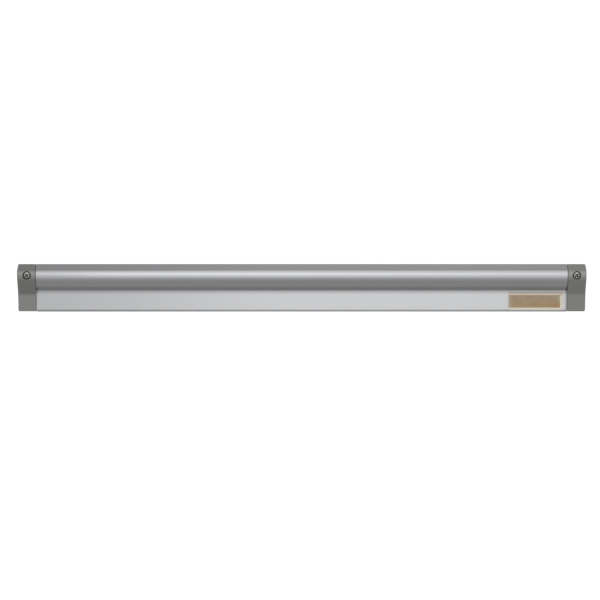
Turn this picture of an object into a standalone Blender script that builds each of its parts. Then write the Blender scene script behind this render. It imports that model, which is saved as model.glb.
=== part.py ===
"""Order ticket rail: an aluminium hood that traps a row of glass marbles against its back plate.

A sheet pushed up from below, between the plate and the marbles, lifts them up the sloping front wall, and
their weight wedges them back down against it.

Metres, +Z up. The wall is the plane y = 0 and the front faces -Y. The origin is the middle of the rail's
back face. A section is drawn in two lengths: forward, away from the wall, and up, from mid height.
"""

import math

import bmesh
import bpy
from mathutils import Matrix, Vector

# Whole rail
OVERALL_LENGTH = 0.6096
SEAT_GAP = 0.0003
CUT_OVERRUN = 0.002
WELD_DISTANCE = 0.000001
ARC_STEP = math.radians(11)
FLAT_ANGLE = math.radians(0.1)

# Extruded rail
RAIL_HEIGHT = 0.0527
PLATE_THICKNESS = 0.0025
PLATE_EDGE_SHARE = 0.9
HOOD_WALL = 0.0016
HOOD_SLOPE = math.radians(39.8)
NOSE_RADIUS = 0.0049
NOSE_FLAT = 0.0008
CHIN_RADIUS = 0.012
LIP_DROP = 0.0277
LIP_BAND_RISE = 0.007
LIP_BAND_SLOPE = math.radians(47)
LIP_BAND_RADIUS = 0.008
LIP_ROUND_SHARE = 0.49
ROOT_FILLET = 0.001

# End caps
CAP_WIDTH = 0.0199
CAP_BEND_DROP = 0.03105
CAP_BEND_RADIUS = 0.007
CAP_FOOT_DEPTH = 0.0035
CAP_FOOT_RADIUS = 0.002
CAP_FOOT_RISE = 0.0005
CAP_WALL = 0.0022
CAP_END_ROUND = 0.0016
CAP_JOINT_ROUND = 0.0007
CAP_ROUND_SEGMENTS = 3
SPIGOT_LENGTH = 0.008
SPIGOT_DROP = 0.019
SPIGOT_CORNER_RADIUS = 0.001

# Counterbored screw seat in each cap
SCREW_DROP = 0.0061
SCREW_FROM_END = 0.0103
COUNTERBORE_DIAMETER = 0.0095
COUNTERBORE_DEPTH = 0.005
SCREW_HOLE_DIAMETER = 0.0042
BOSS_WALL = 0.0022
BORE_SEGMENTS = 32

# Mounting screws
SCREW_LENGTH = 0.0344
SHANK_DIAMETER = 0.0035
THREAD_CORE_DIAMETER = 0.0025
THREAD_PITCH = 0.0014
THREAD_LENGTH = 0.024
POINT_LENGTH = 0.004
POINT_DIAMETER = 0.0006
HEAD_DIAMETER = 0.0081
HEAD_HEIGHT = 0.0026
HEAD_ROUND = 0.0018
CROSS_LENGTH = 0.0052
CROSS_WIDTH = 0.0017
CROSS_DEPTH = 0.0018
CROSS_FLOOR_SHARE = 0.5
SCREW_SEGMENTS = 24
THREAD_SEGMENTS = 12
THREAD_RINGS_PER_TURN = 3
SCREW_TURNS = {-1: math.radians(30), 1: math.radians(38)}

# Label
LABEL_WIDTH = 0.0586
LABEL_HEIGHT = 0.0194
LABEL_THICKNESS = 0.0005
LABEL_CORNER_RADIUS = 0.001
LABEL_END_MARGIN = 0.0037
LABEL_BOTTOM_MARGIN = 0.0023

# Marbles, which the hood is sized around
MARBLE_DIAMETER = 0.014
MARBLE_HEADROOM = 0.00575
MARBLE_PLAY = 0.0013
MARBLE_SEGMENTS = 16
MARBLE_RINGS = 8

# Levels and stations shared by several pieces
TOP = RAIL_HEIGHT / 2
BOTTOM = -RAIL_HEIGHT / 2
CAP_JOINT = OVERALL_LENGTH / 2 - CAP_WIDTH
CAP_MIDDLE = CAP_JOINT + CAP_WIDTH / 2
RAIL_END = CAP_JOINT - SEAT_GAP
CHANNEL_END = CAP_JOINT - SPIGOT_LENGTH
SCREW_LEVEL = TOP - SCREW_DROP
SCREW_STATION = OVERALL_LENGTH / 2 - SCREW_FROM_END
MARBLE_REACH = MARBLE_DIAMETER / 2 + SEAT_GAP
MARBLE_FORWARD = PLATE_THICKNESS + MARBLE_REACH
MARBLE_LEVEL = TOP - HOOD_WALL - MARBLE_HEADROOM - MARBLE_DIAMETER / 2
SLOPE_SLANT = math.tan(HOOD_SLOPE)
SLOPE_AT_TOP = (
    MARBLE_FORWARD
    + (MARBLE_REACH + HOOD_WALL) / math.cos(HOOD_SLOPE)
    + (TOP - MARBLE_LEVEL) * SLOPE_SLANT
)
CHIN_DROP = NOSE_RADIUS + NOSE_FLAT + CHIN_RADIUS * math.tan(HOOD_SLOPE / 2)
HOOD_DEPTH = SLOPE_AT_TOP - CHIN_DROP * SLOPE_SLANT
SEAT_DEPTH = HOOD_DEPTH - COUNTERBORE_DEPTH
SIDES = {-1: "left", 1: "right"}

# Turns a section's (forward, up, across) into world (-Y, +Z, -X)
SECTION_TO_WORLD = Matrix(((0, 0, -1, 0), (-1, 0, 0, 0), (0, 1, 0, 0), (0, 0, 0, 1)))


def clear_scene():
    for item in list(bpy.data.objects):
        bpy.data.objects.remove(item, do_unlink=True)


def new_collection(name):
    collection = bpy.data.collections.new(name)
    bpy.context.scene.collection.children.link(collection)
    return collection


def new_material(name, colour, roughness, metallic):
    material = bpy.data.materials.new(name)
    material.use_nodes = True
    shader = material.node_tree.nodes["Principled BSDF"]
    shader.inputs["Base Color"].default_value = (*colour, 1)
    shader.inputs["Roughness"].default_value = roughness
    shader.inputs["Metallic"].default_value = metallic
    return material


def corner_arc(before, corner, after):
    """The points that round one corner of an outline, or the corner itself if its radius is zero."""
    spot = Vector(corner[:2])
    radius = corner[2]
    if not radius:
        return [spot]
    back = (Vector(before[:2]) - spot).normalized()
    ahead = (Vector(after[:2]) - spot).normalized()
    half_angle = back.angle(ahead) / 2
    centre = spot + (back + ahead).normalized() * (radius / math.sin(half_angle))
    start = spot + back * (radius / math.tan(half_angle)) - centre
    end = spot + ahead * (radius / math.tan(half_angle)) - centre
    turn = math.atan2(start.x * end.y - start.y * end.x, start.dot(end))
    steps = math.ceil(abs(turn) / ARC_STEP)
    return [centre + Matrix.Rotation(turn * step / steps, 2) @ start for step in range(steps + 1)]


def rounded_outline(corners):
    """A closed outline from its corners, each one (forward, up, radius), in clockwise order."""
    before = corners[-1:] + corners[:-1]
    after = corners[1:] + corners[:1]
    points = []
    for neighbours in zip(before, corners, after):
        points += corner_arc(*neighbours)
    return points


def moved_sides(corners, margins):
    """The corners after each side moves inward by its margin; side i runs from corner i to the next."""
    sides = []
    for index, margin in enumerate(margins):
        start = Vector(corners[index][:2])
        along = (Vector(corners[(index + 1) % len(corners)][:2]) - start).normalized()
        inward = Vector((along.y, -along.x))
        sides.append((start + inward * margin, along))
    moved = []
    for (point, along), (next_point, next_along), corner in zip(sides[-1:] + sides[:-1], sides, corners):
        crossing = along.x * next_along.y - along.y * next_along.x
        apart = next_point - point
        reach = (apart.x * next_along.y - apart.y * next_along.x) / crossing
        moved.append((*(point + along * reach), corner[2]))
    return moved


def extruded(name, outline, width, collection):
    """A closed mesh object of an outline, extruded by the width and centred on its origin."""
    curve = bpy.data.curves.new(name + "_outline", "CURVE")
    curve.dimensions = "2D"
    curve.fill_mode = "BOTH"
    curve.extrude = width / 2
    spline = curve.splines.new("POLY")
    spline.points.add(len(outline) - 1)
    for point, (across, up) in zip(spline.points, outline):
        point.co = (across, up, 0, 1)
    spline.use_cyclic_u = True
    guide = bpy.data.objects.new(name + "_outline", curve)
    collection.objects.link(guide)
    evaluated = guide.evaluated_get(bpy.context.evaluated_depsgraph_get())
    mesh = bpy.data.meshes.new_from_object(evaluated)
    mesh.name = name
    edit_mesh(mesh, weld_and_flatten)
    piece = bpy.data.objects.new(name, mesh)
    piece.matrix_world = guide.matrix_world
    collection.objects.link(piece)
    bpy.data.objects.remove(guide, do_unlink=True)
    return piece


def edit_mesh(mesh, change):
    work = bmesh.new()
    work.from_mesh(mesh)
    change(work)
    work.to_mesh(mesh)
    work.free()


def weld_and_flatten(work):
    """Close the loose caps of an extruded curve, and make each flat end one face."""
    bmesh.ops.remove_doubles(work, verts=work.verts, dist=WELD_DISTANCE)
    bmesh.ops.dissolve_limit(work, angle_limit=FLAT_ANGLE, verts=work.verts, edges=work.edges)
    bmesh.ops.recalc_face_normals(work, faces=work.faces)


def section_prism(name, outline, width, collection):
    """A section of the rail, extruded along X."""
    piece = extruded(name, outline, width, collection)
    piece.data.transform(SECTION_TO_WORLD)
    return piece


def shade(piece, material):
    """Give the piece its material, with round faces smooth and real edges sharp."""
    piece.data.materials.clear()
    piece.data.materials.append(material)
    piece.data.shade_smooth()
    piece.data.set_sharp_from_angle(angle=math.radians(30))


def as_cutter(piece):
    piece.hide_render = True
    piece.display_type = "WIRE"
    return piece


def combine(piece, operation, tool):
    modifier = piece.modifiers.new(operation.lower() + "_" + tool.name, "BOOLEAN")
    modifier.operation = operation
    modifier.solver = "EXACT"
    modifier.object = tool


def bore_cutter(name, diameter, near, far, side, collection):
    """A cylinder on a cap's screw axis, from one distance off the wall to another."""
    bpy.ops.mesh.primitive_cylinder_add(
        vertices=BORE_SEGMENTS,
        radius=diameter / 2,
        depth=far - near,
        location=(side * SCREW_STATION, -(near + far) / 2, SCREW_LEVEL),
        rotation=(math.pi / 2, 0, 0),
    )
    piece = bpy.context.object
    piece.name = name
    for old in piece.users_collection:
        old.objects.unlink(piece)
    collection.objects.link(piece)
    return as_cutter(piece)


# The hood's section: a round nose and a wider chin join the level top to the sloping front, which the
# marbles rest on


def slope_forward(depth_inside, level):
    """How far forward the sloping front lies at a level, on the surface this far inside the outer one."""
    return SLOPE_AT_TOP - (TOP - level) * SLOPE_SLANT - depth_inside / math.cos(HOOD_SLOPE)


def nose_corners(depth_inside, clearance=0):
    """The nose and the chin, on the surface this far inside the outer one; a clearance tightens both."""
    forward = HOOD_DEPTH - depth_inside
    chin_level = TOP - (SLOPE_AT_TOP - forward - depth_inside / math.cos(HOOD_SLOPE)) / SLOPE_SLANT
    return [
        (forward, TOP - depth_inside, NOSE_RADIUS - depth_inside - clearance),
        (forward, chin_level, CHIN_RADIUS - depth_inside - clearance),
    ]


def lip_corners():
    """The hood's lowest band, which turns further in than the slope, and the rounded lip it ends in."""
    lip_level = TOP - LIP_DROP
    band_level = lip_level + LIP_BAND_RISE
    band_forward = slope_forward(0, band_level)
    lip_forward = band_forward - LIP_BAND_RISE * math.tan(LIP_BAND_SLOPE)
    lip_radius = HOOD_WALL * LIP_ROUND_SHARE
    half_turn = (LIP_BAND_SLOPE - HOOD_SLOPE) / 2
    across = Vector((math.cos(LIP_BAND_SLOPE), -math.sin(LIP_BAND_SLOPE))) * HOOD_WALL
    mitre = Vector((math.cos(HOOD_SLOPE + half_turn), -math.sin(HOOD_SLOPE + half_turn))) * HOOD_WALL
    mitre /= math.cos(half_turn)
    return [
        (band_forward, band_level, LIP_BAND_RADIUS),
        (lip_forward, lip_level, lip_radius),
        (lip_forward - across.x, lip_level - across.y, lip_radius),
        (band_forward - mitre.x, band_level - mitre.y, LIP_BAND_RADIUS - HOOD_WALL),
    ]


def rail_corners():
    return [
        (0, TOP, 0),
        *nose_corners(0),
        *lip_corners(),
        *reversed(nose_corners(HOOD_WALL)),
        (PLATE_THICKNESS, TOP - HOOD_WALL, ROOT_FILLET),
        (PLATE_THICKNESS, BOTTOM, PLATE_THICKNESS * PLATE_EDGE_SHARE),
        (0, BOTTOM, 0),
    ]


def make_rail(parts):
    rail = section_prism("rail_extrusion", rounded_outline(rail_corners()), 2 * RAIL_END, parts)
    shade(rail, new_material("satin_aluminium", (0.62, 0.63, 0.64), 0.34, 1.0))


# End caps: the hood's outline carried down to a thin foot, a spigot that plugs the channel, a cored back


def cap_corners():
    bend_level = TOP - CAP_BEND_DROP
    foot_level = BOTTOM + CAP_FOOT_RISE
    return [
        (0, TOP, 0),
        *nose_corners(0),
        (slope_forward(0, bend_level), bend_level, CAP_BEND_RADIUS),
        (CAP_FOOT_DEPTH, foot_level, CAP_FOOT_RADIUS),
        (0, foot_level, 0),
    ]


def spigot_corners():
    """The channel's own section down to the spigot's underside, drawn in by the seat gap."""
    underside = TOP - SPIGOT_DROP
    channel = [
        (PLATE_THICKNESS, TOP - HOOD_WALL, SPIGOT_CORNER_RADIUS),
        *nose_corners(HOOD_WALL, SEAT_GAP),
        (slope_forward(HOOD_WALL, underside), underside, SPIGOT_CORNER_RADIUS),
        (PLATE_THICKNESS, underside, SPIGOT_CORNER_RADIUS),
    ]
    return moved_sides(channel, [SEAT_GAP, SEAT_GAP, SEAT_GAP, 0, SEAT_GAP])


def round_cap_ends(cap, side):
    """Round the edges round both ends, softly at the free end, and leave the wall side sharp."""
    weights = cap.data.attributes.new("bevel_weight_edge", "FLOAT", "EDGE")
    for edge in cap.data.edges:
        ends = [cap.data.vertices[index].co for index in edge.vertices]
        at_one_end = all(abs(end.x - ends[0].x) < WELD_DISTANCE for end in ends)
        on_wall = all(abs(end.y) < WELD_DISTANCE for end in ends)
        if at_one_end and not on_wall:
            outer = ends[0].x * side > 0
            weights.data[edge.index].value = 1 if outer else CAP_JOINT_ROUND / CAP_END_ROUND
    bevel = cap.modifiers.new("end_rounding", "BEVEL")
    bevel.limit_method = "WEIGHT"
    bevel.width = CAP_END_ROUND
    bevel.segments = CAP_ROUND_SEGMENTS
    bevel.use_clamp_overlap = False


def pocket_cutter(side, cutters):
    """The coring open to the wall, with the screw boss left standing in it."""
    name = "pocket_" + SIDES[side]
    outer = cap_corners()
    radii = [0, NOSE_RADIUS - CAP_WALL, CHIN_RADIUS - CAP_WALL, CAP_BEND_RADIUS + CAP_WALL, 0, 0]
    margins = [CAP_WALL] * (len(outer) - 1) + [-CUT_OVERRUN]
    corners = [(*corner[:2], radius) for corner, radius in zip(outer, radii)]
    outline = rounded_outline(moved_sides(corners, margins))
    pocket = section_prism(name, outline, CAP_WIDTH - 2 * CAP_WALL, cutters)
    pocket.location.x = side * CAP_MIDDLE
    head_boss = COUNTERBORE_DIAMETER + 2 * BOSS_WALL
    shank_boss = SCREW_HOLE_DIAMETER + 2 * BOSS_WALL
    far = HOOD_DEPTH + CUT_OVERRUN
    combine(pocket, "DIFFERENCE", bore_cutter(
        name + "_head_boss", head_boss, SEAT_DEPTH - CAP_WALL, far, side, cutters))
    combine(pocket, "DIFFERENCE", bore_cutter(
        name + "_shank_boss", shank_boss, -2 * CUT_OVERRUN, far, side, cutters))
    return as_cutter(pocket)


def make_cap(side, material, parts, cutters):
    name = "end_cap_" + SIDES[side]
    cap = section_prism(name, rounded_outline(cap_corners()), CAP_WIDTH, parts)
    cap.location.x = side * CAP_MIDDLE
    round_cap_ends(cap, side)
    shade(cap, material)

    spigot_width = SPIGOT_LENGTH + CAP_WALL / 2
    outline = rounded_outline(spigot_corners())
    spigot = as_cutter(section_prism("spigot_" + SIDES[side], outline, spigot_width, cutters))
    spigot.location.x = side * (CHANNEL_END + spigot_width / 2)
    combine(cap, "UNION", spigot)

    combine(cap, "DIFFERENCE", pocket_cutter(side, cutters))
    far = HOOD_DEPTH + CUT_OVERRUN
    combine(cap, "DIFFERENCE", bore_cutter(
        "counterbore_" + SIDES[side], COUNTERBORE_DIAMETER, SEAT_DEPTH, far, side, cutters))
    combine(cap, "DIFFERENCE", bore_cutter(
        "screw_hole_" + SIDES[side], SCREW_HOLE_DIAMETER, -CUT_OVERRUN, far, side, cutters))


# Mounting screws: a turned head and neck, a helical thread, and a cross recess


def turned(name, profile, segments, collection):
    """A solid turned about Z from a profile of (radius, height) that runs down its outer side."""
    mesh = bpy.data.meshes.new(name)
    points = [(radius, 0, height) for radius, height in profile]
    mesh.from_pydata(points, [(index, index + 1) for index in range(len(points) - 1)], [])
    piece = bpy.data.objects.new(name, mesh)
    collection.objects.link(piece)
    turning = piece.modifiers.new("turning", "SCREW")
    turning.steps = segments
    turning.render_steps = segments
    turning.use_merge_vertices = True
    turning.merge_threshold = WELD_DISTANCE
    turning.use_smooth_shade = True
    return piece


def head_profile():
    """Domed head and plain neck, seen from the head's underside at height zero."""
    radius = HEAD_DIAMETER / 2
    neck_end = THREAD_LENGTH - SCREW_LENGTH
    crown = (0, HEAD_HEIGHT, 0)
    shoulder = (radius, HEAD_HEIGHT, HEAD_ROUND)
    rim = (radius, 0, 0)
    return [
        crown[:2],
        *corner_arc(crown, shoulder, rim),
        rim[:2],
        (SHANK_DIAMETER / 2, 0),
        (SHANK_DIAMETER / 2, neck_end),
        (0, neck_end),
    ]


def cut_thread(work, length):
    """Turn a plain rod, its top at height zero, into a screw thread that runs out at both ends."""
    crest = SHANK_DIAMETER / 2 - THREAD_CORE_DIAMETER / 2
    for vertex in work.verts:
        from_top = -vertex.co.z
        from_tip = length + vertex.co.z
        around = math.atan2(vertex.co.y, vertex.co.x) / math.tau
        phase = (from_top / THREAD_PITCH + around) % 1
        run_out = min(1, max(0, from_top / THREAD_PITCH - 1))
        point = min(1, from_tip / POINT_LENGTH)
        plain = POINT_DIAMETER / 2 + (THREAD_CORE_DIAMETER / 2 - POINT_DIAMETER / 2) * point
        radius = plain + crest * run_out * point * max(0, math.cos(math.tau * phase))
        flat = Vector((vertex.co.x, vertex.co.y))
        vertex.co.x, vertex.co.y = flat.normalized() * radius


def make_thread(name, collection):
    """The threaded rod: it starts one pitch inside the neck and ends in the screw's point."""
    length = THREAD_LENGTH + THREAD_PITCH
    rings = THREAD_RINGS_PER_TURN * round(length / THREAD_PITCH)

    def thread(work):
        bmesh.ops.create_cone(
            work,
            cap_ends=True,
            segments=THREAD_SEGMENTS,
            radius1=THREAD_CORE_DIAMETER / 2,
            radius2=THREAD_CORE_DIAMETER / 2,
            depth=length,
            matrix=Matrix.Translation((0, 0, -length / 2)),
        )
        long_edges = [edge for edge in work.edges if edge.calc_length() > length / 2]
        bmesh.ops.subdivide_edges(work, edges=long_edges, cuts=rings - 1)
        cut_thread(work, length)

    mesh = bpy.data.meshes.new(name)
    edit_mesh(mesh, thread)
    mesh.transform(Matrix.Translation((0, 0, length - SCREW_LENGTH)))
    piece = bpy.data.objects.new(name, mesh)
    collection.objects.link(piece)
    return as_cutter(piece)


def make_cross_bar(name, collection):
    """One tapered bar of the cross recess, its wide end standing out of the head."""

    def bar(work):
        bmesh.ops.create_cube(work, size=1)
        for vertex in work.verts:
            share = 1 if vertex.co.z > 0 else CROSS_FLOOR_SHARE
            vertex.co.x *= CROSS_LENGTH * share
            vertex.co.y *= CROSS_WIDTH * share
            vertex.co.z *= 2 * CROSS_DEPTH

    mesh = bpy.data.meshes.new(name)
    edit_mesh(mesh, bar)
    mesh.transform(Matrix.Translation((0, 0, HEAD_HEIGHT)))
    piece = bpy.data.objects.new(name, mesh)
    collection.objects.link(piece)
    return as_cutter(piece)


def seat_in_cap(piece, side, turn):
    """Lay a piece of the screw along the cap's bore, head to the front, under-head on its seat."""
    piece.location = (side * SCREW_STATION, -(SEAT_DEPTH + SEAT_GAP), SCREW_LEVEL)
    piece.rotation_euler = (math.pi / 2, turn, 0)


def make_screw(side, material, parts, cutters):
    name = "mounting_screw_" + SIDES[side]
    turn = SCREW_TURNS[side]
    screw = turned(name, head_profile(), SCREW_SEGMENTS, parts)
    screw.data.materials.append(material)
    seat_in_cap(screw, side, turn)
    thread = make_thread("thread_" + SIDES[side], cutters)
    seat_in_cap(thread, side, turn)
    combine(screw, "UNION", thread)
    for bar_name, quarter in (("cross_a_", 0), ("cross_b_", math.pi / 2)):
        bar = make_cross_bar(bar_name + SIDES[side], cutters)
        seat_in_cap(bar, side, turn + quarter)
        combine(screw, "DIFFERENCE", bar)


# Label: a thin foil plate near the right end, under the hood


def make_label(parts):
    half_width = LABEL_WIDTH / 2
    half_height = LABEL_HEIGHT / 2
    corners = [
        (-half_width, half_height, LABEL_CORNER_RADIUS),
        (half_width, half_height, LABEL_CORNER_RADIUS),
        (half_width, -half_height, LABEL_CORNER_RADIUS),
        (-half_width, -half_height, LABEL_CORNER_RADIUS),
    ]
    label = extruded("label_plate", rounded_outline(corners), LABEL_THICKNESS, parts)
    label.rotation_euler.x = math.pi / 2
    label.location = (
        RAIL_END - LABEL_END_MARGIN - half_width,
        -(PLATE_THICKNESS + SEAT_GAP + LABEL_THICKNESS / 2),
        BOTTOM + LABEL_BOTTOM_MARGIN + half_height,
    )
    shade(label, new_material("gold_foil", (0.50, 0.36, 0.20), 0.38, 0.6))


# Marbles: a row in the channel, each resting between the plate and the sloping front wall


def make_marbles(parts):
    bpy.ops.mesh.primitive_uv_sphere_add(
        segments=MARBLE_SEGMENTS, ring_count=MARBLE_RINGS, radius=MARBLE_DIAMETER / 2
    )
    pattern = bpy.context.object
    mesh = pattern.data
    mesh.name = "marble"
    bpy.data.objects.remove(pattern, do_unlink=True)
    mesh.shade_smooth()
    mesh.materials.append(new_material("marble_glass", (0.66, 0.74, 0.72), 0.05, 0.0))
    channel = 2 * CHANNEL_END
    count = int(channel / (MARBLE_DIAMETER + MARBLE_PLAY))
    for index in range(count):
        marble = bpy.data.objects.new(f"marble_{index + 1:02d}", mesh)
        station = channel * (index + 0.5) / count - CHANNEL_END
        marble.location = (station, -MARBLE_FORWARD, MARBLE_LEVEL)
        parts.objects.link(marble)


def main():
    clear_scene()
    parts = new_collection("order_ticket_rail")
    cutters = new_collection("cutters")
    make_rail(parts)
    make_label(parts)
    make_marbles(parts)
    cap_plastic = new_material("moulded_grey", (0.17, 0.17, 0.16), 0.55, 0.0)
    screw_steel = new_material("zinc_steel", (0.55, 0.56, 0.57), 0.30, 1.0)
    for side in SIDES:
        make_cap(side, cap_plastic, parts, cutters)
        make_screw(side, screw_steel, parts, cutters)


main()
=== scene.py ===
"""An order ticket rail: aluminium hood, grey caps, zinc screws, glass marbles and a foil label."""

import math
import random

import bmesh
import bpy
from mathutils import Matrix, Vector


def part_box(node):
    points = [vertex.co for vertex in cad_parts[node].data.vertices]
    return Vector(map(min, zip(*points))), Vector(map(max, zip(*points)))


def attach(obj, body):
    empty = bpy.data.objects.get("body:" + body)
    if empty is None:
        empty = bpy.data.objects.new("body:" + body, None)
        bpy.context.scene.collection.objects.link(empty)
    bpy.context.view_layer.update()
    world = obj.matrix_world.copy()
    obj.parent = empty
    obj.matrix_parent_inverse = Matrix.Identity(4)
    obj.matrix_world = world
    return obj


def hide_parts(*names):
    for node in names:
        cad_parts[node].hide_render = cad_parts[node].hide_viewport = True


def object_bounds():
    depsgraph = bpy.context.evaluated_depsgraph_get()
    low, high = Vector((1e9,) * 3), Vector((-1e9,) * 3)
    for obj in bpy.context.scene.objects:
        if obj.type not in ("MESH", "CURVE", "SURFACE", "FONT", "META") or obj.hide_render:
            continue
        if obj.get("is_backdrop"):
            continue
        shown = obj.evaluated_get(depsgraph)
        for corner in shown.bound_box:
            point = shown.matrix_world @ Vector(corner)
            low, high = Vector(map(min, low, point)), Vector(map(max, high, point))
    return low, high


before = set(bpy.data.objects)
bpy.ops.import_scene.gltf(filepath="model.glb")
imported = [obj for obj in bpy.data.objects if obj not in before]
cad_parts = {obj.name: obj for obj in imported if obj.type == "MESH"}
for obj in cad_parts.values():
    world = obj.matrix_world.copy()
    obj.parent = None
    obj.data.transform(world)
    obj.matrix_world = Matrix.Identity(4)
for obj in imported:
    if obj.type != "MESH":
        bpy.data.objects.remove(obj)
cad_low, cad_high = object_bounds()


# Rail body
# One aluminium extrusion: a flat back plate whose top edge folds forward into a bull-nosed hood.
# It is die-drawn, so fine lines run its whole length, then satin anodised and sawn to length.

RAIL_HEIGHT = 0.0527
PLATE_THICKNESS = 0.0025
PLATE_CHAMFER_RISE = 0.0024
PLATE_CHAMFER_RUN = 0.0007
PLATE_CHAMFER_ROUND = 0.0012
PLATE_EDGE_ROUND = 0.0005
HOOD_DEPTH = 0.024972
HOOD_WALL = 0.0016
HOOD_SLOPE = math.radians(39.8)
NOSE_RADIUS = 0.0049
NOSE_FLAT = 0.0008
CHIN_RADIUS = 0.012
LIP_DROP = 0.02725
LIP_RADIUS = 0.00078
BAND_RISE = 0.007
BAND_SLOPE = math.radians(47)
BAND_RADIUS = 0.008
ROOT_FILLET = 0.001
SAWN_EDGE = 0.00012
TOP = RAIL_HEIGHT / 2
CHIN_LEVEL = TOP - NOSE_RADIUS - NOSE_FLAT - CHIN_RADIUS * math.tan(HOOD_SLOPE / 2)
LIP_LEVEL = TOP - LIP_DROP
BAND_LEVEL = LIP_LEVEL + BAND_RISE

# The finest step of a round corner, and the least turn that reads as a real edge.
FINE_ARC = math.radians(3)
REAL_EDGE = math.radians(30)

# The dark end of the metal's tone carries both its darker die lines and the painted shade toward
# the rail's ends.
DARK_ALUMINIUM = (0.48, 0.485, 0.495)
BRIGHT_ALUMINIUM = (0.66, 0.665, 0.675)
# The black that the painted shade on the rail blends toward.
SHADE_BLACK = (0.0, 0.0, 0.0)
DIE_LINE_PITCH = (0.25, 0.0006, 0.0006)
DIE_LINE_DEPTH = 0.00003
DIE_LINE_SHARE = 0.25
SATIN_ROUGHNESS = 0.30
DIE_LINE_ROUGHNESS = 0.12
WEAR_ROUGHNESS = 0.15

# Where the finish and its painted shade change, off the wall, up or along the rail: the start and
# end of each change.
HOOD_BEGINS = (0.003, 0.0045)
TOP_FLAT_BEGINS = (0.0235, 0.0255)
NOSE_BEGINS = (0.0165, 0.0205)
PLATE_LEFT_FADE = (-0.3, 0.0)
PLATE_RIGHT_FADE = (0.16, 0.36)
NOSE_LEFT_FADE = (-0.31, -0.19)
NOSE_RIGHT_FADE = (-0.05, 0.36)
RIGHT_FADE_SHARE = 0.45
UNDER_LIP_SHADE_BOTTOM = (-0.0074, -0.0026)
UNDER_LIP_SHADE_TOP = (0.01, 0.02)
UNDER_LIP_SHADE_SHARE = 0.34
LIP_BAND_BOTTOM = (LIP_LEVEL, LIP_LEVEL + 0.0012)
LIP_BAND_TOP = (LIP_LEVEL + 0.0045, BAND_LEVEL + 0.001)
LIP_SHADE_SHARE = 0.24
JOINT_SHADE_BEGINS = (0.2836, 0.2843)
JOINT_SHADE_STOPS_ABOVE = (0.004, 0.008)
JOINT_SHADE_SHARE = 0.8
LIP_CORNER_SHADE_BEGINS = (0.2832, 0.2842)
LIP_CORNER_SHADE_BOTTOM = (-0.007, -0.004)
LIP_CORNER_SHADE_TOP = (0.002, 0.004)
LIP_CORNER_SHADE_SHARE = 0.6


class Tone:
    """A number that varies over a finish. Arithmetic on it adds Math nodes."""

    def __init__(self, finish, socket):
        self.finish = finish
        self.socket = socket

    def math(self, operation, *others):
        """A Math node on this number and the others."""
        terms = dict(enumerate((self, *others)))
        return self.finish.add("ShaderNodeMath", {"operation": operation}, terms)

    def __add__(self, other):
        return self.math("ADD", other)

    def __sub__(self, other):
        return self.math("SUBTRACT", other)

    def __rsub__(self, other):
        return self.math("MULTIPLY_ADD", -1, other)

    def __mul__(self, other):
        return self.math("MULTIPLY", other)

    __radd__ = __add__
    __rmul__ = __mul__

    def over(self, start, end):
        """0 under the start, 1 over the end, and a smooth step from one to the other."""
        values = {"Value": self, "From Min": start, "From Max": end}
        return self.finish.add("ShaderNodeMapRange", {"interpolation_type": "SMOOTHSTEP"}, values)

    def under(self, start, end):
        """1 under the start, 0 over the end."""
        return 1 - self.over(start, end)


class Finish:
    """The nodes of one procedural finish, patterned in the piece's own coordinates."""

    def __init__(self, owner, shader="Principled BSDF", coordinates="Object"):
        owner.use_nodes = True
        self.owner = owner
        self.tree = owner.node_tree
        self.shader = self.tree.nodes[shader]
        self.place = self.add("ShaderNodeTexCoord", {}, {}, coordinates)

    def fill(self, socket, value):
        if isinstance(value, Tone):
            self.tree.links.new(value.socket, socket)
        else:
            socket.default_value = value

    def add(self, kind, settings, values, output=0):
        """A node whose settings are made first, then its sockets; returns one of its outputs."""
        node = self.tree.nodes.new(kind)
        for name, value in settings.items():
            setattr(node, name, value)
        for socket, value in values.items():
            self.fill(node.inputs[socket], value)
        return Tone(self, node.outputs[output])

    def feed(self, **values):
        """Fills the shader's own sockets."""
        for name, value in values.items():
            self.fill(self.shader.inputs[name.replace("_", " ")], value)

    def along(self, axis):
        """The place along X, Y or Z."""
        return self.add("ShaderNodeSeparateXYZ", {}, {"Vector": self.place}, axis)

    def ray(self, kind):
        """1 for rays of this kind, 0 for the others."""
        return self.add("ShaderNodeLightPath", {}, {}, "Is " + kind + " Ray")

    def grain(self, pitch, detail=3.0):
        """Noise whose lumps measure this pitch along X, Y and Z."""
        scale = tuple(1 / size for size in pitch)
        spots = self.add("ShaderNodeMapping", {}, {"Vector": self.place, "Scale": scale})
        values = {"Vector": spots, "Scale": 1.0, "Detail": detail}
        return self.add("ShaderNodeTexNoise", {}, values)

    def blend(self, share, first, second):
        """One colour turning into another as the share goes from 0 to 1."""
        first, second = (
            (*colour, 1.0) if isinstance(colour, tuple) else colour for colour in (first, second)
        )
        # The Mix node has one set of sockets a data type: its colours come in at 6 and 7, out at 2.
        values = {"Factor": share, 6: first, 7: second}
        return self.add("ShaderNodeMix", {"data_type": "RGBA"}, values, 2)

    def bump(self, height, depth):
        """Relief of this depth, in metres."""
        values = {"Height": height, "Distance": depth, "Strength": 1.0}
        self.feed(Normal=self.add("ShaderNodeBump", {}, values))


def new_finish(name):
    return Finish(bpy.data.materials.new(name))


def placed(name, data):
    """A new object in the scene."""
    thing = bpy.data.objects.new(name, data)
    bpy.context.scene.collection.objects.link(thing)
    return thing


def meshed(name, work):
    """A finished bmesh as an object in the scene."""
    mesh = bpy.data.meshes.new(name)
    work.to_mesh(mesh)
    work.free()
    return placed(name, mesh)


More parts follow.
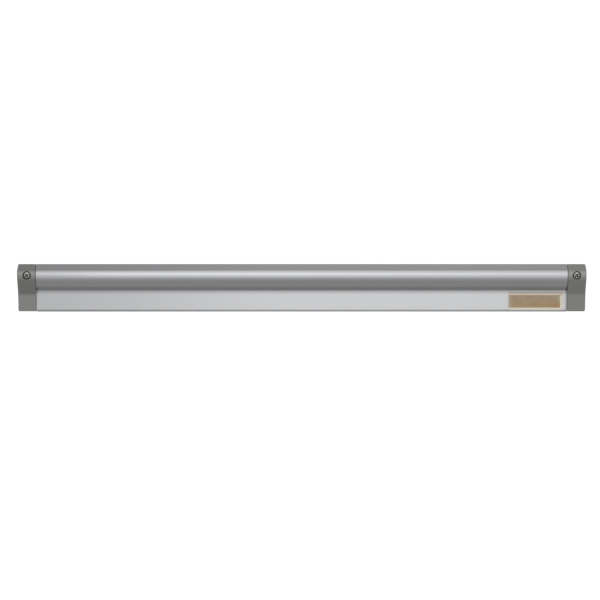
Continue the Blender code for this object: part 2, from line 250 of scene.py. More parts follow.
def shown(name, work, look, crease=REAL_EDGE):
    """A finished bmesh as a piece: round faces smooth, flat ones flat, real edges crisp."""
    piece = meshed(name, work)
    piece.data.materials.append(look.owner)
    piece.data.shade_smooth()
    piece.data.set_sharp_from_angle(angle=crease)
    flats = piece.modifiers.new("flat_faces", "WEIGHTED_NORMAL")
    flats.keep_sharp = True
    return piece


def soften(work, parts, radius, segments, affect="EDGES"):
    bmesh.ops.bevel(
        work, geom=parts, offset=radius, segments=segments, profile=0.5, affect=affect, material=-1
    )


def thicken(work, vector):
    """Pulls the only face out into a closed solid."""
    grown = bmesh.ops.extrude_face_region(work, geom=work.faces[:])["geom"]
    far_ring = [item for item in grown if isinstance(item, bmesh.types.BMVert)]
    bmesh.ops.translate(work, verts=far_ring, vec=vector)
    bmesh.ops.recalc_face_normals(work, faces=work.faces)


def section_bar(corners, left, right):
    """A solid bar of one section along X; each corner is (forward, up, radius), going clockwise."""
    bar = bmesh.new()
    spots = [Vector((left, -forward, up)) for forward, up, radius in corners]
    for index, spot in enumerate(spots):
        radius = corners[index][2]
        point = bar.verts.new(spot)
        if not radius:
            continue
        back = (spots[index - 1] - spot).normalized()
        ahead = (spots[(index + 1) % len(spots)] - spot).normalized()
        half = back.angle(ahead) / 2
        centre = spot + (back + ahead).normalized() * (radius / math.sin(half))
        point.co = spot + back * (radius / math.tan(half))
        turn = math.copysign(math.pi - 2 * half, ahead.cross(back).x)
        steps = max(2, math.ceil(abs(turn) / FINE_ARC))
        bmesh.ops.spin(bar, geom=[point], cent=centre, axis=(1, 0, 0), angle=turn, steps=steps)
    bar.faces.new(list(bar.verts))
    thicken(bar, (right - left, 0, 0))
    return bar


def end_edges(bar, station):
    """The edges round a bar's end at this station."""
    near = SAWN_EDGE / 2
    return [
        edge for edge in bar.edges if all(abs(point.co.x - station) < near for point in edge.verts)
    ]


def slope_forward(depth_inside, level):
    """How far forward the hood's front slope lies, on the surface this far inside the outer one."""
    outer = HOOD_DEPTH + (level - CHIN_LEVEL) * math.tan(HOOD_SLOPE)
    return outer - depth_inside / math.cos(HOOD_SLOPE)


def hood_corners(depth_inside):
    """The nose and the chin, on the surface this far inside the outer one."""
    forward = HOOD_DEPTH - depth_inside
    rise = depth_inside * math.tan(HOOD_SLOPE / 2)
    return [
        (forward, TOP - depth_inside, NOSE_RADIUS - depth_inside),
        (forward, CHIN_LEVEL + rise, CHIN_RADIUS - depth_inside),
    ]


def end_shade_share(left_fade, right_fade):
    """Painted shade toward the rail's ends: 1 at the left end, 0 over the middle, and less than 1
    at the right end.
    """
    middle = across_rail.over(*left_fade)
    return 1 - middle * (1 - across_rail.over(*right_fade) * RIGHT_FADE_SHARE)


satin_aluminium = new_finish("satin_aluminium")
die_lines = satin_aluminium.grain(DIE_LINE_PITCH, detail=4.0)
across_rail = satin_aluminium.along("X")
off_wall = satin_aluminium.along("Y") * -1
up_rail = satin_aluminium.along("Z")

# Painted shade: the metal is painted darker toward the rail's ends, where less light fell, and kept
# even all along the hood's slope.
on_hood = off_wall.over(*HOOD_BEGINS)
on_nose = on_hood * up_rail.under(*TOP_FLAT_BEGINS)
on_slope = on_hood * up_rail.under(*NOSE_BEGINS)
plate_end_shade = end_shade_share(PLATE_LEFT_FADE, PLATE_RIGHT_FADE)
nose_end_shade = end_shade_share(NOSE_LEFT_FADE, NOSE_RIGHT_FADE)
lit_along_rail = 1 - (plate_end_shade * (1 - on_nose) + nose_end_shade * on_nose) * (1 - on_slope)
lit_and_die_line_tone = lit_along_rail * (1 - DIE_LINE_SHARE) + die_lines * DIE_LINE_SHARE
end_shaded_aluminium = satin_aluminium.blend(lit_and_die_line_tone, DARK_ALUMINIUM, BRIGHT_ALUMINIUM)

# Painted shade: the plate is darker under the lip and up inside the channel, the lip's last band is
# darker and also rougher, and a dark line runs at the right cap's joint and in the corners where
# the lip meets the caps.
under_lip_shade = up_rail.over(*UNDER_LIP_SHADE_BOTTOM) * up_rail.under(*UNDER_LIP_SHADE_TOP) * (1 - on_hood)
# Painted shade along the lip's last band, which is also made rougher.
lip_shade_and_wear = up_rail.over(*LIP_BAND_BOTTOM) * up_rail.under(*LIP_BAND_TOP) * on_hood
# Painted shade: a dark line at the right cap's joint, on the plate and low on the hood.
right_joint_shade = across_rail.over(*JOINT_SHADE_BEGINS) * (
    1 - on_hood * up_rail.over(*JOINT_SHADE_STOPS_ABOVE)
)
# Painted shade in the corners where the lip meets the caps.
lip_corner_shade = (
    across_rail.math("ABSOLUTE").over(*LIP_CORNER_SHADE_BEGINS)
    * up_rail.over(*LIP_CORNER_SHADE_BOTTOM)
    * up_rail.under(*LIP_CORNER_SHADE_TOP)
)
# All the rail's painted shade together.
rail_painted_shade = (
    under_lip_shade * UNDER_LIP_SHADE_SHARE
    + lip_shade_and_wear * LIP_SHADE_SHARE
    + right_joint_shade * JOINT_SHADE_SHARE
    + lip_corner_shade * LIP_CORNER_SHADE_SHARE
)
satin_aluminium.feed(
    Metallic=1.0,
    Base_Color=satin_aluminium.blend(rail_painted_shade, end_shaded_aluminium, SHADE_BLACK),
    Roughness=die_lines * DIE_LINE_ROUGHNESS + SATIN_ROUGHNESS + lip_shade_and_wear * WEAR_ROUGHNESS,
)
satin_aluminium.bump(die_lines, DIE_LINE_DEPTH)

# The hood's slope ends in a band that turns further in, down to the lip.
band_top_forward = slope_forward(0, BAND_LEVEL)
lip_forward = band_top_forward - BAND_RISE * math.tan(BAND_SLOPE)
band_half_turn = (BAND_SLOPE - HOOD_SLOPE) / 2
band_lean = HOOD_SLOPE + band_half_turn
wall_at_band = HOOD_WALL / math.cos(band_half_turn)
rail_left, rail_right = (corner[0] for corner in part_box("rail_extrusion"))
rail_work = section_bar(
    [
        (0, TOP, 0),
        *hood_corners(0),
        (band_top_forward, BAND_LEVEL, BAND_RADIUS),
        (lip_forward, LIP_LEVEL, LIP_RADIUS),
        (
            lip_forward - HOOD_WALL * math.cos(BAND_SLOPE),
            LIP_LEVEL + HOOD_WALL * math.sin(BAND_SLOPE),
            LIP_RADIUS,
        ),
        (
            band_top_forward - wall_at_band * math.cos(band_lean),
            BAND_LEVEL + wall_at_band * math.sin(band_lean),
            BAND_RADIUS - HOOD_WALL,
        ),
        *reversed(hood_corners(HOOD_WALL)),
        (PLATE_THICKNESS, TOP - HOOD_WALL, ROOT_FILLET),
        (PLATE_THICKNESS, PLATE_CHAMFER_RISE - TOP, PLATE_CHAMFER_ROUND),
        (PLATE_THICKNESS - PLATE_CHAMFER_RUN, -TOP, PLATE_EDGE_ROUND),
        (0, -TOP, 0),
    ],
    rail_left,
    rail_right,
)
for station in (rail_left, rail_right):
    soften(rail_work, end_edges(rail_work, station), SAWN_EDGE, segments=2)
rail_body = shown("rail_body", rail_work, satin_aluminium)
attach(rail_body, "rail")
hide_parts("rail_extrusion")


# Marbles
# A row of machine-made glass marbles, dropped into the hood before the second cap goes on.
# Each is a ball with the faint flat where the gob was sheared, and a wisp of green in clear glass.

MARBLE_RADIUS = 0.007
SHEAR_FLAT = 0.00012
MARBLE_SEED = 11
CLEAR_GLASS = (0.93, 0.97, 0.95)
GREEN_GLASS = (0.62, 0.80, 0.72)
WISP_PITCH = (0.006, 0.004, 0.009)
WISP_BEGINS = (0.45, 0.65)
SCUFF_PITCH = (0.003, 0.003, 0.003)
GLASS_ROUGHNESS = 0.01
SCUFF_ROUGHNESS = 0.06

marble_glass = new_finish("marble_glass")
wisps = marble_glass.grain(WISP_PITCH, detail=2.0).over(*WISP_BEGINS)
marble_glass.feed(
    IOR=1.5,
    Transmission_Weight=0.7,
    Base_Color=marble_glass.blend(wisps, CLEAR_GLASS, GREEN_GLASS),
    Roughness=marble_glass.grain(SCUFF_PITCH) * SCUFF_ROUGHNESS + GLASS_ROUGHNESS,
)

dice = random.Random(MARBLE_SEED)
for node in sorted(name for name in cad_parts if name.startswith("marble_")):
    low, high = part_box(node)
    marble_work = bmesh.new()
    bmesh.ops.create_icosphere(marble_work, subdivisions=4, radius=MARBLE_RADIUS)
    for vertex in marble_work.verts:
        vertex.co.z = min(vertex.co.z, MARBLE_RADIUS - SHEAR_FLAT)
    tumble = Matrix.Rotation(dice.uniform(0, math.tau), 3, "X")
    tumble = tumble @ Matrix.Rotation(dice.uniform(0, math.tau), 3, "Y")
    bmesh.ops.rotate(marble_work, verts=marble_work.verts, cent=(0, 0, 0), matrix=tumble)
    centre = (Vector(low) + Vector(high)) / 2
    bmesh.ops.translate(marble_work, verts=marble_work.verts, vec=centre)
    marble = shown("glass_" + node, marble_work, marble_glass)
    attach(marble, node)
    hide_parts(node)


# End caps
# Injection-moulded in matte grey plastic: the hood's outline carried down to a thin foot, a spigot
# that plugs the hood's channel, a cored back, and a boss with a deep seat for the mounting screw.

CAP_WIDTH = 0.0199
CAP_WALL = 0.0022
CAP_BEND_LEVEL = TOP - 0.03105
CAP_BEND_RADIUS = 0.007
CAP_FOOT_DEPTH = 0.0035
CAP_FOOT_RADIUS = 0.002
CAP_FOOT_RISE = 0.0005
CAP_END_ROUND = 0.0016
CAP_JOINT_ROUND = 0.0007
SPIGOT_LENGTH = 0.008
SPIGOT_LEVEL = TOP - 0.019
SPIGOT_CORNER_RADIUS = 0.001
SPIGOT_GAP = 0.0003
SCREW_LEVEL = TOP - 0.0061
SCREW_FROM_END = 0.0103
COUNTERBORE_DIAMETER = 0.0095
COUNTERBORE_DEPTH = 0.005
SCREW_HOLE_DIAMETER = 0.0042
BOSS_WALL = 0.0022
BORE_STEPS = 96
SEAT_DEPTH = HOOD_DEPTH - COUNTERBORE_DEPTH
SCREW_ACROSS = cad_high[0] - SCREW_FROM_END
CAP_JOINT = cad_high[0] - CAP_WIDTH

# How far a cutting tool runs past the surface that it cuts through.
OVERRUN = 0.002

DARK_GREY = (0.12, 0.121, 0.113)
PALE_GREY = (0.30, 0.301, 0.288)
CAP_JOINT_SHADE = (0.05, 0.05, 0.045)
CAP_JOINT_SHADE_SHARE = 0.4
CAP_JOINT_SHADE_WIDTH = 0.0016
FINE_GRAIN_PITCH = (0.00045, 0.00045, 0.00045)
FINE_GRAIN_DEPTH = 0.00006
FLOW_PITCH = (0.012, 0.012, 0.02)
MOTTLE_SHARE = 0.1
CAP_ROUGHNESS = 0.26
FINE_GRAIN_ROUGHNESS = 0.16
FOOT_ENDS = (-0.0085, -0.0035)
CAP_TOP_BEGINS = (0.0235, 0.026)
BETWEEN_CAPS = (-0.01, 0.01)

# The two caps are painted lit differently, as light fell on them: how pale each is, and how much
# paler its foot and its top.
LEFT_CAP_LIGHT = (0.463, 0.19, -0.42)
RIGHT_CAP_LIGHT = (0.67, -0.16, -0.28)


def carved(solid, operation, tool):
    """The solid joined with a tool or cut by it."""
    holders = [meshed("carving", work) for work in (solid, tool)]
    cut = holders[0].modifiers.new("cut", "BOOLEAN")
    cut.operation = operation
    cut.solver = "EXACT"
    cut.object = holders[1]
    result = bmesh.new()
    result.from_object(holders[0], bpy.context.evaluated_depsgraph_get())
    for holder in holders:
        bpy.data.objects.remove(holder)
    return result


def bore(diameter, near, far, across):
    """A round tool along a cap's screw axis, from one distance off the wall to another."""
    tool = bmesh.new()
    place = Matrix.Translation((across, -(near + far) / 2, SCREW_LEVEL))
    bmesh.ops.create_cone(
        tool, cap_ends=True, segments=BORE_STEPS, radius1=diameter / 2, radius2=diameter / 2,
        depth=far - near, matrix=place @ Matrix.Rotation(math.pi / 2, 4, "X"),
    )
    return tool


def inside(corners, margins):
    """The corners after each side moves in by its margin; side i runs from corner i to the next."""
    sides = []
    for index, margin in enumerate(margins):
        start = Vector(corners[index][:2])
        along = (Vector(corners[(index + 1) % len(corners)][:2]) - start).normalized()
        sides.append((start + Vector((along.y, -along.x)) * margin, along))
    moved = []
    for (point, along), (next_point, next_along), corner in zip(
        sides[-1:] + sides[:-1], sides, corners
    ):
        reach = (next_point - point).cross(next_along) / along.cross(next_along)
        moved.append((*(point + along * reach), corner[2]))
    return moved


def painted_cap_light(pale, foot_paler, top_paler):
    """Painted light on one cap: how pale it is all over, on its foot and at its top."""
    return pale + on_foot * foot_paler + on_cap_top * top_paler


moulded_grey = new_finish("moulded_grey")
fine_grain = moulded_grey.grain(FINE_GRAIN_PITCH, detail=2.0)
flow = moulded_grey.grain(FLOW_PITCH)
across_caps = moulded_grey.along("X")
up_cap = moulded_grey.along("Z")
on_foot = up_cap.under(*FOOT_ENDS)
on_cap_top = up_cap.over(*CAP_TOP_BEGINS)
on_left_cap = across_caps.under(*BETWEEN_CAPS)
mottle = fine_grain * MOTTLE_SHARE + flow * MOTTLE_SHARE
cap_painted_light = on_left_cap * painted_cap_light(*LEFT_CAP_LIGHT) + (1 - on_left_cap) * painted_cap_light(*RIGHT_CAP_LIGHT)
plastic = moulded_grey.blend(mottle + cap_painted_light, DARK_GREY, PALE_GREY)
# Painted shade: the caps are painted darker toward their joint with the rail.
cap_joint_shade = across_caps.math("ABSOLUTE").under(CAP_JOINT, CAP_JOINT + CAP_JOINT_SHADE_WIDTH)
moulded_grey.feed(
    IOR=2.1,
    Base_Color=moulded_grey.blend(cap_joint_shade * CAP_JOINT_SHADE_SHARE, plastic, CAP_JOINT_SHADE),
    Roughness=fine_grain * FINE_GRAIN_ROUGHNESS + CAP_ROUGHNESS,
)
moulded_grey.bump(fine_grain, FINE_GRAIN_DEPTH)

outline = [
    (0, TOP, 0),
    *hood_corners(0),
    (slope_forward(0, CAP_BEND_LEVEL), CAP_BEND_LEVEL, CAP_BEND_RADIUS),
    (CAP_FOOT_DEPTH, CAP_FOOT_RISE - TOP, CAP_FOOT_RADIUS),
    (0, CAP_FOOT_RISE - TOP, 0),
]
core_radii = [0, NOSE_RADIUS - CAP_WALL, CHIN_RADIUS - CAP_WALL, CAP_BEND_RADIUS + CAP_WALL, 0, 0]
core = inside(
    [(forward, up, radius) for (forward, up, _), radius in zip(outline, core_radii)],
    [CAP_WALL] * (len(outline) - 1) + [-OVERRUN],
)
spigot = inside(
    [
        (PLATE_THICKNESS, TOP - HOOD_WALL, SPIGOT_CORNER_RADIUS),
        *((forward, up, radius - SPIGOT_GAP) for forward, up, radius in hood_corners(HOOD_WALL)),
        (slope_forward(HOOD_WALL, SPIGOT_LEVEL), SPIGOT_LEVEL, SPIGOT_CORNER_RADIUS),
        (PLATE_THICKNESS, SPIGOT_LEVEL, SPIGOT_CORNER_RADIUS),
    ],
    [SPIGOT_GAP, SPIGOT_GAP, SPIGOT_GAP, 0, SPIGOT_GAP],
)
past_nose = HOOD_DEPTH + OVERRUN

for side, end in ((-1, "left"), (1, "right")):
    tip = side * cad_high[0]
    joint = side * CAP_JOINT
    across = side * SCREW_ACROSS
    cap_work = section_bar(outline, *sorted((tip, joint)))
    for station, radius, segments in ((tip, CAP_END_ROUND, 8), (joint, CAP_JOINT_ROUND, 4)):
        rim = [
            edge for edge in end_edges(cap_work, station)
            if any(abs(point.co.y) > SAWN_EDGE for point in edge.verts)
        ]
        soften(cap_work, rim, radius, segments)
    spigot_ends = sorted((joint - side * SPIGOT_LENGTH, joint + side * CAP_WALL / 2))
    cap_work = carved(cap_work, "UNION", section_bar(spigot, *spigot_ends))

    middle = (tip + joint) / 2
    half_core = CAP_WIDTH / 2 - CAP_WALL
    pocket = section_bar(core, middle - half_core, middle + half_core)
    head_boss = bore(COUNTERBORE_DIAMETER + 2 * BOSS_WALL, SEAT_DEPTH - CAP_WALL, past_nose, across)
    shank_boss = bore(SCREW_HOLE_DIAMETER + 2 * BOSS_WALL, -2 * OVERRUN, past_nose, across)
    for boss in (head_boss, shank_boss):
        pocket = carved(pocket, "DIFFERENCE", boss)
    counterbore = bore(COUNTERBORE_DIAMETER, SEAT_DEPTH, past_nose, across)
    screw_hole = bore(SCREW_HOLE_DIAMETER, -OVERRUN, past_nose, across)
    for tool in (pocket, counterbore, screw_hole):
        cap_work = carved(cap_work, "DIFFERENCE", tool)
    cap = shown("moulded_cap_" + end, cap_work, moulded_grey)
    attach(cap, "rail")
    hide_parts("end_cap_" + end)


# Mounting screws
# One zinc-plated pan-head screw through each cap into the wall, cold-headed with a cross recess,
# its thread rolled down to a point. They stopped turning at different angles.

SCREW_LENGTH = 0.0344
SHANK_RADIUS = 0.00175
CORE_RADIUS = 0.00125
THREAD_PITCH = 0.0014
THREAD_LENGTH = 0.024
THREAD_START = THREAD_LENGTH - SCREW_LENGTH
THREAD_DEPTH = SHANK_RADIUS - CORE_RADIUS
POINT_LENGTH = 0.004
POINT_RADIUS = 0.0003
HEAD_RADIUS = 0.00405
HEAD_HEIGHT = 0.0026
HEAD_ROUND = 0.0018
HEAD_GAP = 0.0003
CROSS_LENGTH = 0.0064
CROSS_WIDTH = 0.0023
CROSS_DEPTH = 0.0018
CROSS_FLOOR_SHARE = 0.5
SCREW_STEPS = 48
HEAD_ROUND_STEPS = 10
RINGS_PER_TURN = 12
SCREW_CREASE = math.radians(40)
LEFT_TURN = math.radians(30)
RIGHT_TURN = math.radians(38)

DULL_ZINC = (0.34, 0.34, 0.33)
BRIGHT_ZINC = (0.58, 0.58, 0.56)
RECESS_SHADE = (0.04, 0.04, 0.035)
RECESS_SHADE_SHARE = 0.85
RECESS_BEGINS = (0.0001, 0.0004)
RECESS_ENDS = (0.0029, 0.0033)
SPANGLE_PITCH = (0.0012, 0.0012, 0.0012)
ZINC_GRAIN_PITCH = (0.0004, 0.0004, 0.0004)
ZINC_GRAIN_DEPTH = 0.00001
ZINC_ROUGHNESS = 0.12
SPANGLE_ROUGHNESS = 0.16


def screw_blank():
    """A pan head and a plain shank turned about Z, the head's underside at zero."""
    blank = bmesh.new()
    crown = blank.verts.new((0, 0, HEAD_HEIGHT))
    shoulder = blank.verts.new((HEAD_RADIUS - HEAD_ROUND, 0, HEAD_HEIGHT))
    blank.edges.new((crown, shoulder))
    arc = bmesh.ops.spin(
        blank, geom=[shoulder], cent=(HEAD_RADIUS - HEAD_ROUND, 0, HEAD_HEIGHT - HEAD_ROUND),
        axis=(0, 1, 0), angle=math.pi / 2, steps=HEAD_ROUND_STEPS,
    )
    last = next(item for item in arc["geom_last"] if isinstance(item, bmesh.types.BMVert))
    profile = [
        (HEAD_RADIUS, 0),
        (SHANK_RADIUS, 0),
        (SHANK_RADIUS, THREAD_START),
        (SHANK_RADIUS, -SCREW_LENGTH),
        (0, -SCREW_LENGTH),
    ]
    lines = []
    for radius, level in profile:
        point = blank.verts.new((radius, 0, level))
        lines.append(blank.edges.new((last, point)))
        last = point
    threaded_line = lines[3]
    rings = round(THREAD_LENGTH / THREAD_PITCH * RINGS_PER_TURN)
    bmesh.ops.subdivide_edges(blank, edges=[threaded_line], cuts=rings - 1)
    bmesh.ops.spin(
        blank, geom=blank.verts[:] + blank.edges[:], cent=(0, 0, 0), axis=(0, 0, 1),
        angle=math.tau, steps=SCREW_STEPS, use_merge=True,
    )
    bmesh.ops.remove_doubles(blank, verts=blank.verts, dist=0.000001)
    return blank


def roll_thread(blank):
    """Presses the shank into a thread that fades in below the neck and thins out to the point."""
    for vertex in blank.verts:
        below = THREAD_START - vertex.co.z
        from_axis = vertex.co.xy.length
        if below <= 0 or from_axis < POINT_RADIUS:
            continue
        turns = below / THREAD_PITCH
        phase = turns + math.atan2(vertex.co.y, vertex.co.x) / math.tau
        point_share = min(1, (vertex.co.z + SCREW_LENGTH) / POINT_LENGTH)
        crest = THREAD_DEPTH * min(1, turns) * point_share
        root = POINT_RADIUS + (CORE_RADIUS - POINT_RADIUS) * point_share
        root += THREAD_DEPTH * max(0, 1 - turns)
        radius = root + crest * max(0, math.cos(math.tau * phase)) ** 2
        vertex.co.xy = vertex.co.xy * (radius / from_axis)
    bmesh.ops.recalc_face_normals(blank, faces=blank.faces)


def cross_bar(quarter):
    """One bar of the cross punch, narrower at its foot, down through the head's crown."""
    bar = bmesh.new()
    bmesh.ops.create_cube(bar, size=1)
    for vertex in bar.verts:
        share = 1 if vertex.co.z > 0 else CROSS_FLOOR_SHARE
        vertex.co.x *= CROSS_LENGTH * share
        vertex.co.y *= CROSS_WIDTH * share
        vertex.co.z = vertex.co.z * 2 * CROSS_DEPTH + HEAD_HEIGHT
    turn = Matrix.Rotation(quarter, 3, "Z")
    bmesh.ops.rotate(bar, verts=bar.verts, cent=(0, 0, 0), matrix=turn)
    return bar


zinc_plate = new_finish("zinc_plate")
spangle = zinc_plate.grain(SPANGLE_PITCH)
beside_axis = zinc_plate.along("X").math("ABSOLUTE") - SCREW_ACROSS
above_axis = zinc_plate.along("Z") - SCREW_LEVEL
from_screw_axis = (beside_axis * beside_axis + above_axis * above_axis).math("SQRT")
below_crown = zinc_plate.along("Y") + (SEAT_DEPTH + HEAD_GAP + HEAD_HEIGHT)
# Painted shade: below the crown near the axis, in the cross recess and down the shank, the zinc is
# painted nearly black.
in_recess = below_crown.over(*RECESS_BEGINS) * from_screw_axis.under(*RECESS_ENDS)
zinc = zinc_plate.blend(spangle, DULL_ZINC, BRIGHT_ZINC)
zinc_plate.feed(
    Metallic=1.0,
    Base_Color=zinc_plate.blend(in_recess * RECESS_SHADE_SHARE, zinc, RECESS_SHADE),
    Roughness=spangle * SPANGLE_ROUGHNESS + ZINC_ROUGHNESS,
)
zinc_plate.bump(zinc_plate.grain(ZINC_GRAIN_PITCH, detail=2.0), ZINC_GRAIN_DEPTH)

for side, end, turn in ((-1, "left", LEFT_TURN), (1, "right", RIGHT_TURN)):
    screw_work = screw_blank()
    roll_thread(screw_work)
    for quarter in (0, math.pi / 2):
        screw_work = carved(screw_work, "DIFFERENCE", cross_bar(quarter))
    lay = Matrix.Rotation(math.pi / 2, 3, "X") @ Matrix.Rotation(turn, 3, "Z")
    seat = (side * SCREW_ACROSS, -(SEAT_DEPTH + HEAD_GAP), SCREW_LEVEL)
    bmesh.ops.rotate(screw_work, verts=screw_work.verts, cent=(0, 0, 0), matrix=lay)
    bmesh.ops.translate(screw_work, verts=screw_work.verts, vec=seat)
    screw = shown("zinc_screw_" + end, screw_work, zinc_plate, SCREW_CREASE)
    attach(screw, "rail")
    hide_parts("mounting_screw_" + end)


# Label
# A blank foil plate near the right end: tan and gold inside a keyline, with a pale cream margin.
# A thin foam pad behind it holds it to the back plate.

MARGIN_LEFT = 0.0002
MARGIN_RIGHT = 0.003
MARGIN_TOP = 0.0026
MARGIN_BOTTOM = 0.0026
KEYLINE_LEFT = 0.0028
KEYLINE_RIGHT = 0.0028
KEYLINE_TOP = 0.0004
KEYLINE_BOTTOM = 0.0006
PRINT_BLEED = 0.00015
LABEL_CORNER = 0.001
LABEL_EDGE = 0.00012
LABEL_GAP = 0.0003
PAD_MARGIN = 0.0008
PAD_GAP = 0.00002

CREAM = (0.735, 0.69, 0.57)
RUBBED_AND_SHADED_CREAM = (0.56, 0.48, 0.385)
DARK_OLIVE = (0.38, 0.33, 0.225)
PALE_OLIVE = (0.48, 0.42, 0.295)
DARK_TAN = (0.29, 0.21, 0.135)
PALE_TAN = (0.50, 0.385, 0.26)
DARK_GOLD = (0.32, 0.19, 0.085)
PALE_GOLD = (0.52, 0.35, 0.175)
BRUSH_PITCH = (0.008, 0.001, 0.0003)
BRUSH_ROUGHNESS = 0.2
BRUSH_RELIEF = 0.3
RUB_PITCH = (0.012, 0.01, 0.006)
RUB_SHARE = 0.3
PRINT_DEPTH = 0.00003
FIELD_RELIEF = 0.5
FOIL_ROUGHNESS = 0.30
FOIL_METALLIC = 0.9
PRINT_METALLIC_DROP = 0.3
DARK_FOAM = (0.60, 0.60, 0.57)
PALE_FOAM = (0.80, 0.80, 0.77)
CELL_PITCH = (0.0003, 0.0003, 0.0003)
CELL_DEPTH = 0.00005
CELL_ROUGHNESS = 0.2
FOAM_ROUGHNESS = 0.75

label_low, label_high = (Vector(corner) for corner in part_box("label_plate"))

# Where the print turns from tan to gold, downward and to the right, and where its top is painted
# darker as shade under the lip.
GOLD_BEGINS = (label_low.z + 0.004, label_low.z + 0.013)
GOLD_DEEPENS = (label_low.x + 0.02, label_high.x)
GOLD_LEFT_SHARE = 0.55
KEYLINE_TURNS_GOLD = (label_high.x - 0.014, label_high.x - 0.006)
LABEL_TOP_SHADE_BEGINS = (label_high.z - 0.0036, label_high.z - 0.0026)


def rounded_plate(low, high, back, front, corner):
    """A thin upright plate with rounded corners, between two distances off the wall."""
    plate = bmesh.new()
    spots = [(low.x, high.z), (high.x, high.z), (high.x, low.z), (low.x, low.z)]
    plate.faces.new([plate.verts.new((x, -back, z)) for x, z in spots])
    soften(plate, list(plate.verts), corner, segments=8, affect="VERTICES")
    thicken(plate, (0, back - front, 0))
    return plate


def within(left, right, bottom, top):
    """1 on the part of the label that lies this far inside its four edges, 0 outside it."""
    return (
        across_label.over(label_low.x + left, label_low.x + left + PRINT_BLEED)
        * across_label.under(label_high.x - right - PRINT_BLEED, label_high.x - right)
        * up_label.over(label_low.z + bottom, label_low.z + bottom + PRINT_BLEED)
        * up_label.under(label_high.z - top - PRINT_BLEED, label_high.z - top)
    )


gold_foil = new_finish("gold_foil")
across_label = gold_foil.along("X")
up_label = gold_foil.along("Z")
printed = within(MARGIN_LEFT, MARGIN_RIGHT, MARGIN_BOTTOM, MARGIN_TOP)
in_keyline = within(
    MARGIN_LEFT + KEYLINE_LEFT,
    MARGIN_RIGHT + KEYLINE_RIGHT,
    MARGIN_BOTTOM + KEYLINE_BOTTOM,
    MARGIN_TOP + KEYLINE_TOP,
)
brushed = gold_foil.grain(BRUSH_PITCH, detail=4.0)
rubbed = gold_foil.grain(RUB_PITCH)
print_wear = (brushed + rubbed) * 0.5
gold_share = up_label.under(*GOLD_BEGINS) * (
    across_label.over(*GOLD_DEEPENS) * (1 - GOLD_LEFT_SHARE) + GOLD_LEFT_SHARE
)
# The cream is rubbed in places, and its top is painted darker as shade under the lip.
rub_and_top_shade_share = rubbed * RUB_SHARE + up_label.over(*LABEL_TOP_SHADE_BEGINS) * (1 - RUB_SHARE)
bare = gold_foil.blend(rub_and_top_shade_share, CREAM, RUBBED_AND_SHADED_CREAM)
olive = gold_foil.blend(rubbed, DARK_OLIVE, PALE_OLIVE)
tan = gold_foil.blend(print_wear, DARK_TAN, PALE_TAN)
gold = gold_foil.blend(print_wear, DARK_GOLD, PALE_GOLD)
keyline = gold_foil.blend(gold_share * across_label.over(*KEYLINE_TURNS_GOLD), olive, gold)
field = gold_foil.blend(gold_share, tan, gold)
gold_foil.feed(
    Coat_Weight=0.25,
    Coat_Roughness=0.2,
    Base_Color=gold_foil.blend(in_keyline, gold_foil.blend(printed, bare, keyline), field),
    Roughness=brushed * BRUSH_ROUGHNESS + FOIL_ROUGHNESS,
    Metallic=FOIL_METALLIC - printed * PRINT_METALLIC_DROP,
)
gold_foil.bump(brushed * BRUSH_RELIEF + printed + in_keyline * FIELD_RELIEF, PRINT_DEPTH)

label_front = -label_low.y
label_back = PLATE_THICKNESS + LABEL_GAP
label_work = rounded_plate(label_low, label_high, label_back, label_front, LABEL_CORNER)
front_rim = [
    edge for edge in label_work.edges
    if all(abs(point.co.y + label_front) < LABEL_EDGE / 10 for point in edge.verts)
]
soften(label_work, front_rim, LABEL_EDGE, segments=3)
label = shown("foil_label", label_work, gold_foil)
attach(label, "rail")
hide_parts("label_plate")

pad_foam = new_finish("pad_foam")
cells = pad_foam.grain(CELL_PITCH, detail=2.0)
pad_foam.feed(
    Base_Color=pad_foam.blend(cells, DARK_FOAM, PALE_FOAM),
    Roughness=cells * CELL_ROUGHNESS + FOAM_ROUGHNESS,
)
pad_foam.bump(cells, CELL_DEPTH)
inset = Vector((PAD_MARGIN, 0, PAD_MARGIN))
pad_work = rounded_plate(
    label_low + inset, label_high - inset, PLATE_THICKNESS + PAD_GAP, label_back - PAD_GAP,
    LABEL_CORNER,
)
pad = shown("label_pad", pad_work, pad_foam)
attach(pad, "rail")


# Studio
# A plain pale floor far below the rail, a tall soft light in front of it, and a pale room that is
# brightest in front. The camera looks at the rail from a little above it.

BLACK = (0.0, 0.0, 0.0)
WHITE = (1.0, 1.0, 1.0)
FLOOR_LEVEL = -1.5
FLOOR_HALF = 30
FLOOR_GREY = (0.44, 0.44, 0.44)
FLOOR_PALE = (0.47, 0.47, 0.47)
FLOOR_PITCH = (0.5, 0.5, 0.5)

# The floor's glow: how bright it is to the eye, and the pool of light in front that metal reflects.
FLOOR_SEEN = 0.75
POOL_BEGINS = (0.2, 4.5)
POOL_ACROSS = 0.15
POOL_EDGE = (0.15, 0.9)
POOL_GLOW = 0.74
POOL_EDGE_DROP = 0.22

ROOM_BRIGHTENS = (-0.55, 0.75)
ROOM_BACK = 0.41
ROOM_FRONT_RISE = 0.56
LAMP_WIDTH = 0.95
LAMP_HEIGHT = 2.6
LAMP_DISTANCE = 5.0
LAMP_ELEVATION = math.radians(5)
LAMP_ACROSS = -0.02
LAMP_RADIANCE = 1.2
CAMERA_DISTANCE = 6.0
CAMERA_ELEVATION = math.radians(16)
CAMERA_REACH = 200
SENSOR_WIDTH = 36

# The picture's scale at the rail, and how many pixels the rail's origin lies right of and above
# the middle of the picture.
PICTURE_WIDTH = 600
PIXELS_PER_METRE = 930
ORIGIN_RIGHT = 1.75
ORIGIN_ABOVE = 12.35


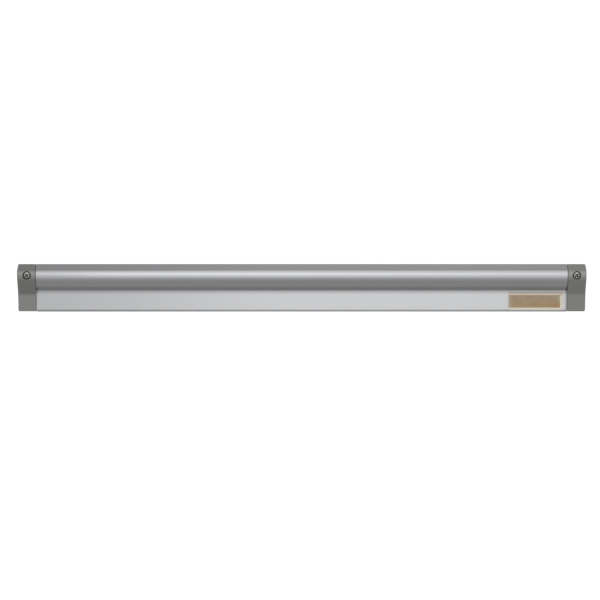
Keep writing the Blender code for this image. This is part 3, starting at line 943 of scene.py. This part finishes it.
def front_way(elevation):
    """The direction from the rail straight to the front and up by this angle."""
    return Vector((0, -math.cos(elevation), math.sin(elevation)))


def seen_in(look):
    """1 for rays that come straight from the camera or through glass, 0 for the others."""
    return look.ray("Camera") + look.ray("Transmission")


pale_floor = new_finish("pale_floor")
in_front_of_rail = pale_floor.along("Y") * -1
beside_pool = (pale_floor.along("X") - POOL_ACROSS).math("ABSOLUTE")
pool = in_front_of_rail.over(*POOL_BEGINS) * (
    POOL_GLOW - beside_pool.over(*POOL_EDGE) * POOL_EDGE_DROP
)
floor_glow = seen_in(pale_floor) * FLOOR_SEEN + pale_floor.ray("Glossy") * pool
pale_floor.feed(
    Base_Color=pale_floor.blend(pale_floor.grain(FLOOR_PITCH), FLOOR_GREY, FLOOR_PALE),
    Roughness=0.9,
    Emission_Color=pale_floor.blend(floor_glow, BLACK, WHITE),
    Emission_Strength=1.0,
    Alpha=1 - pale_floor.add("ShaderNodeNewGeometry", {}, {}, "Backfacing"),
)
floor_work = bmesh.new()
bmesh.ops.create_grid(
    floor_work, x_segments=8, y_segments=8, size=FLOOR_HALF,
    matrix=Matrix.Translation((0, 0, FLOOR_LEVEL)),
)
floor = meshed("floor", floor_work)
floor.data.materials.append(pale_floor.owner)
floor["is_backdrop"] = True

room = Finish(bpy.data.worlds.new("room"), "Background", "Generated")
daylight = (room.along("Y") * -1).over(*ROOM_BRIGHTENS) * ROOM_FRONT_RISE + ROOM_BACK
room.feed(Color=room.blend(daylight + seen_in(room), BLACK, WHITE), Strength=1.0)
bpy.context.scene.world = room.owner

lamp_data = bpy.data.lights.new("softbox", "AREA")
lamp_data.shape = "RECTANGLE"
lamp_data.size = LAMP_WIDTH
lamp_data.size_y = LAMP_HEIGHT
lamp_data.energy = math.pi * LAMP_WIDTH * LAMP_HEIGHT * LAMP_RADIANCE
lamp = placed("softbox", lamp_data)
lamp_way = front_way(LAMP_ELEVATION)
lamp.location = lamp_way * LAMP_DISTANCE + Vector((LAMP_ACROSS, 0, 0))
lamp.rotation_euler = lamp_way.to_track_quat("Z", "Y").to_euler()
lamp.visible_camera = False

camera_data = bpy.data.cameras.new("camera")
camera_data.sensor_width = SENSOR_WIDTH
camera_data.lens = SENSOR_WIDTH * CAMERA_DISTANCE * PIXELS_PER_METRE / PICTURE_WIDTH
camera_data.clip_end = CAMERA_REACH
camera = placed("camera", camera_data)
camera_way = front_way(CAMERA_ELEVATION)
upward = Vector((0, math.sin(CAMERA_ELEVATION), math.cos(CAMERA_ELEVATION)))
aim = (Vector((-ORIGIN_RIGHT, 0, 0)) - upward * ORIGIN_ABOVE) / PIXELS_PER_METRE
camera.location = camera_way * CAMERA_DISTANCE + aim
camera.rotation_euler = camera_way.to_track_quat("Z", "Y").to_euler()
bpy.context.scene.camera = camera

bpy.context.scene.view_settings.view_transform = "Standard"

low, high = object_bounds()
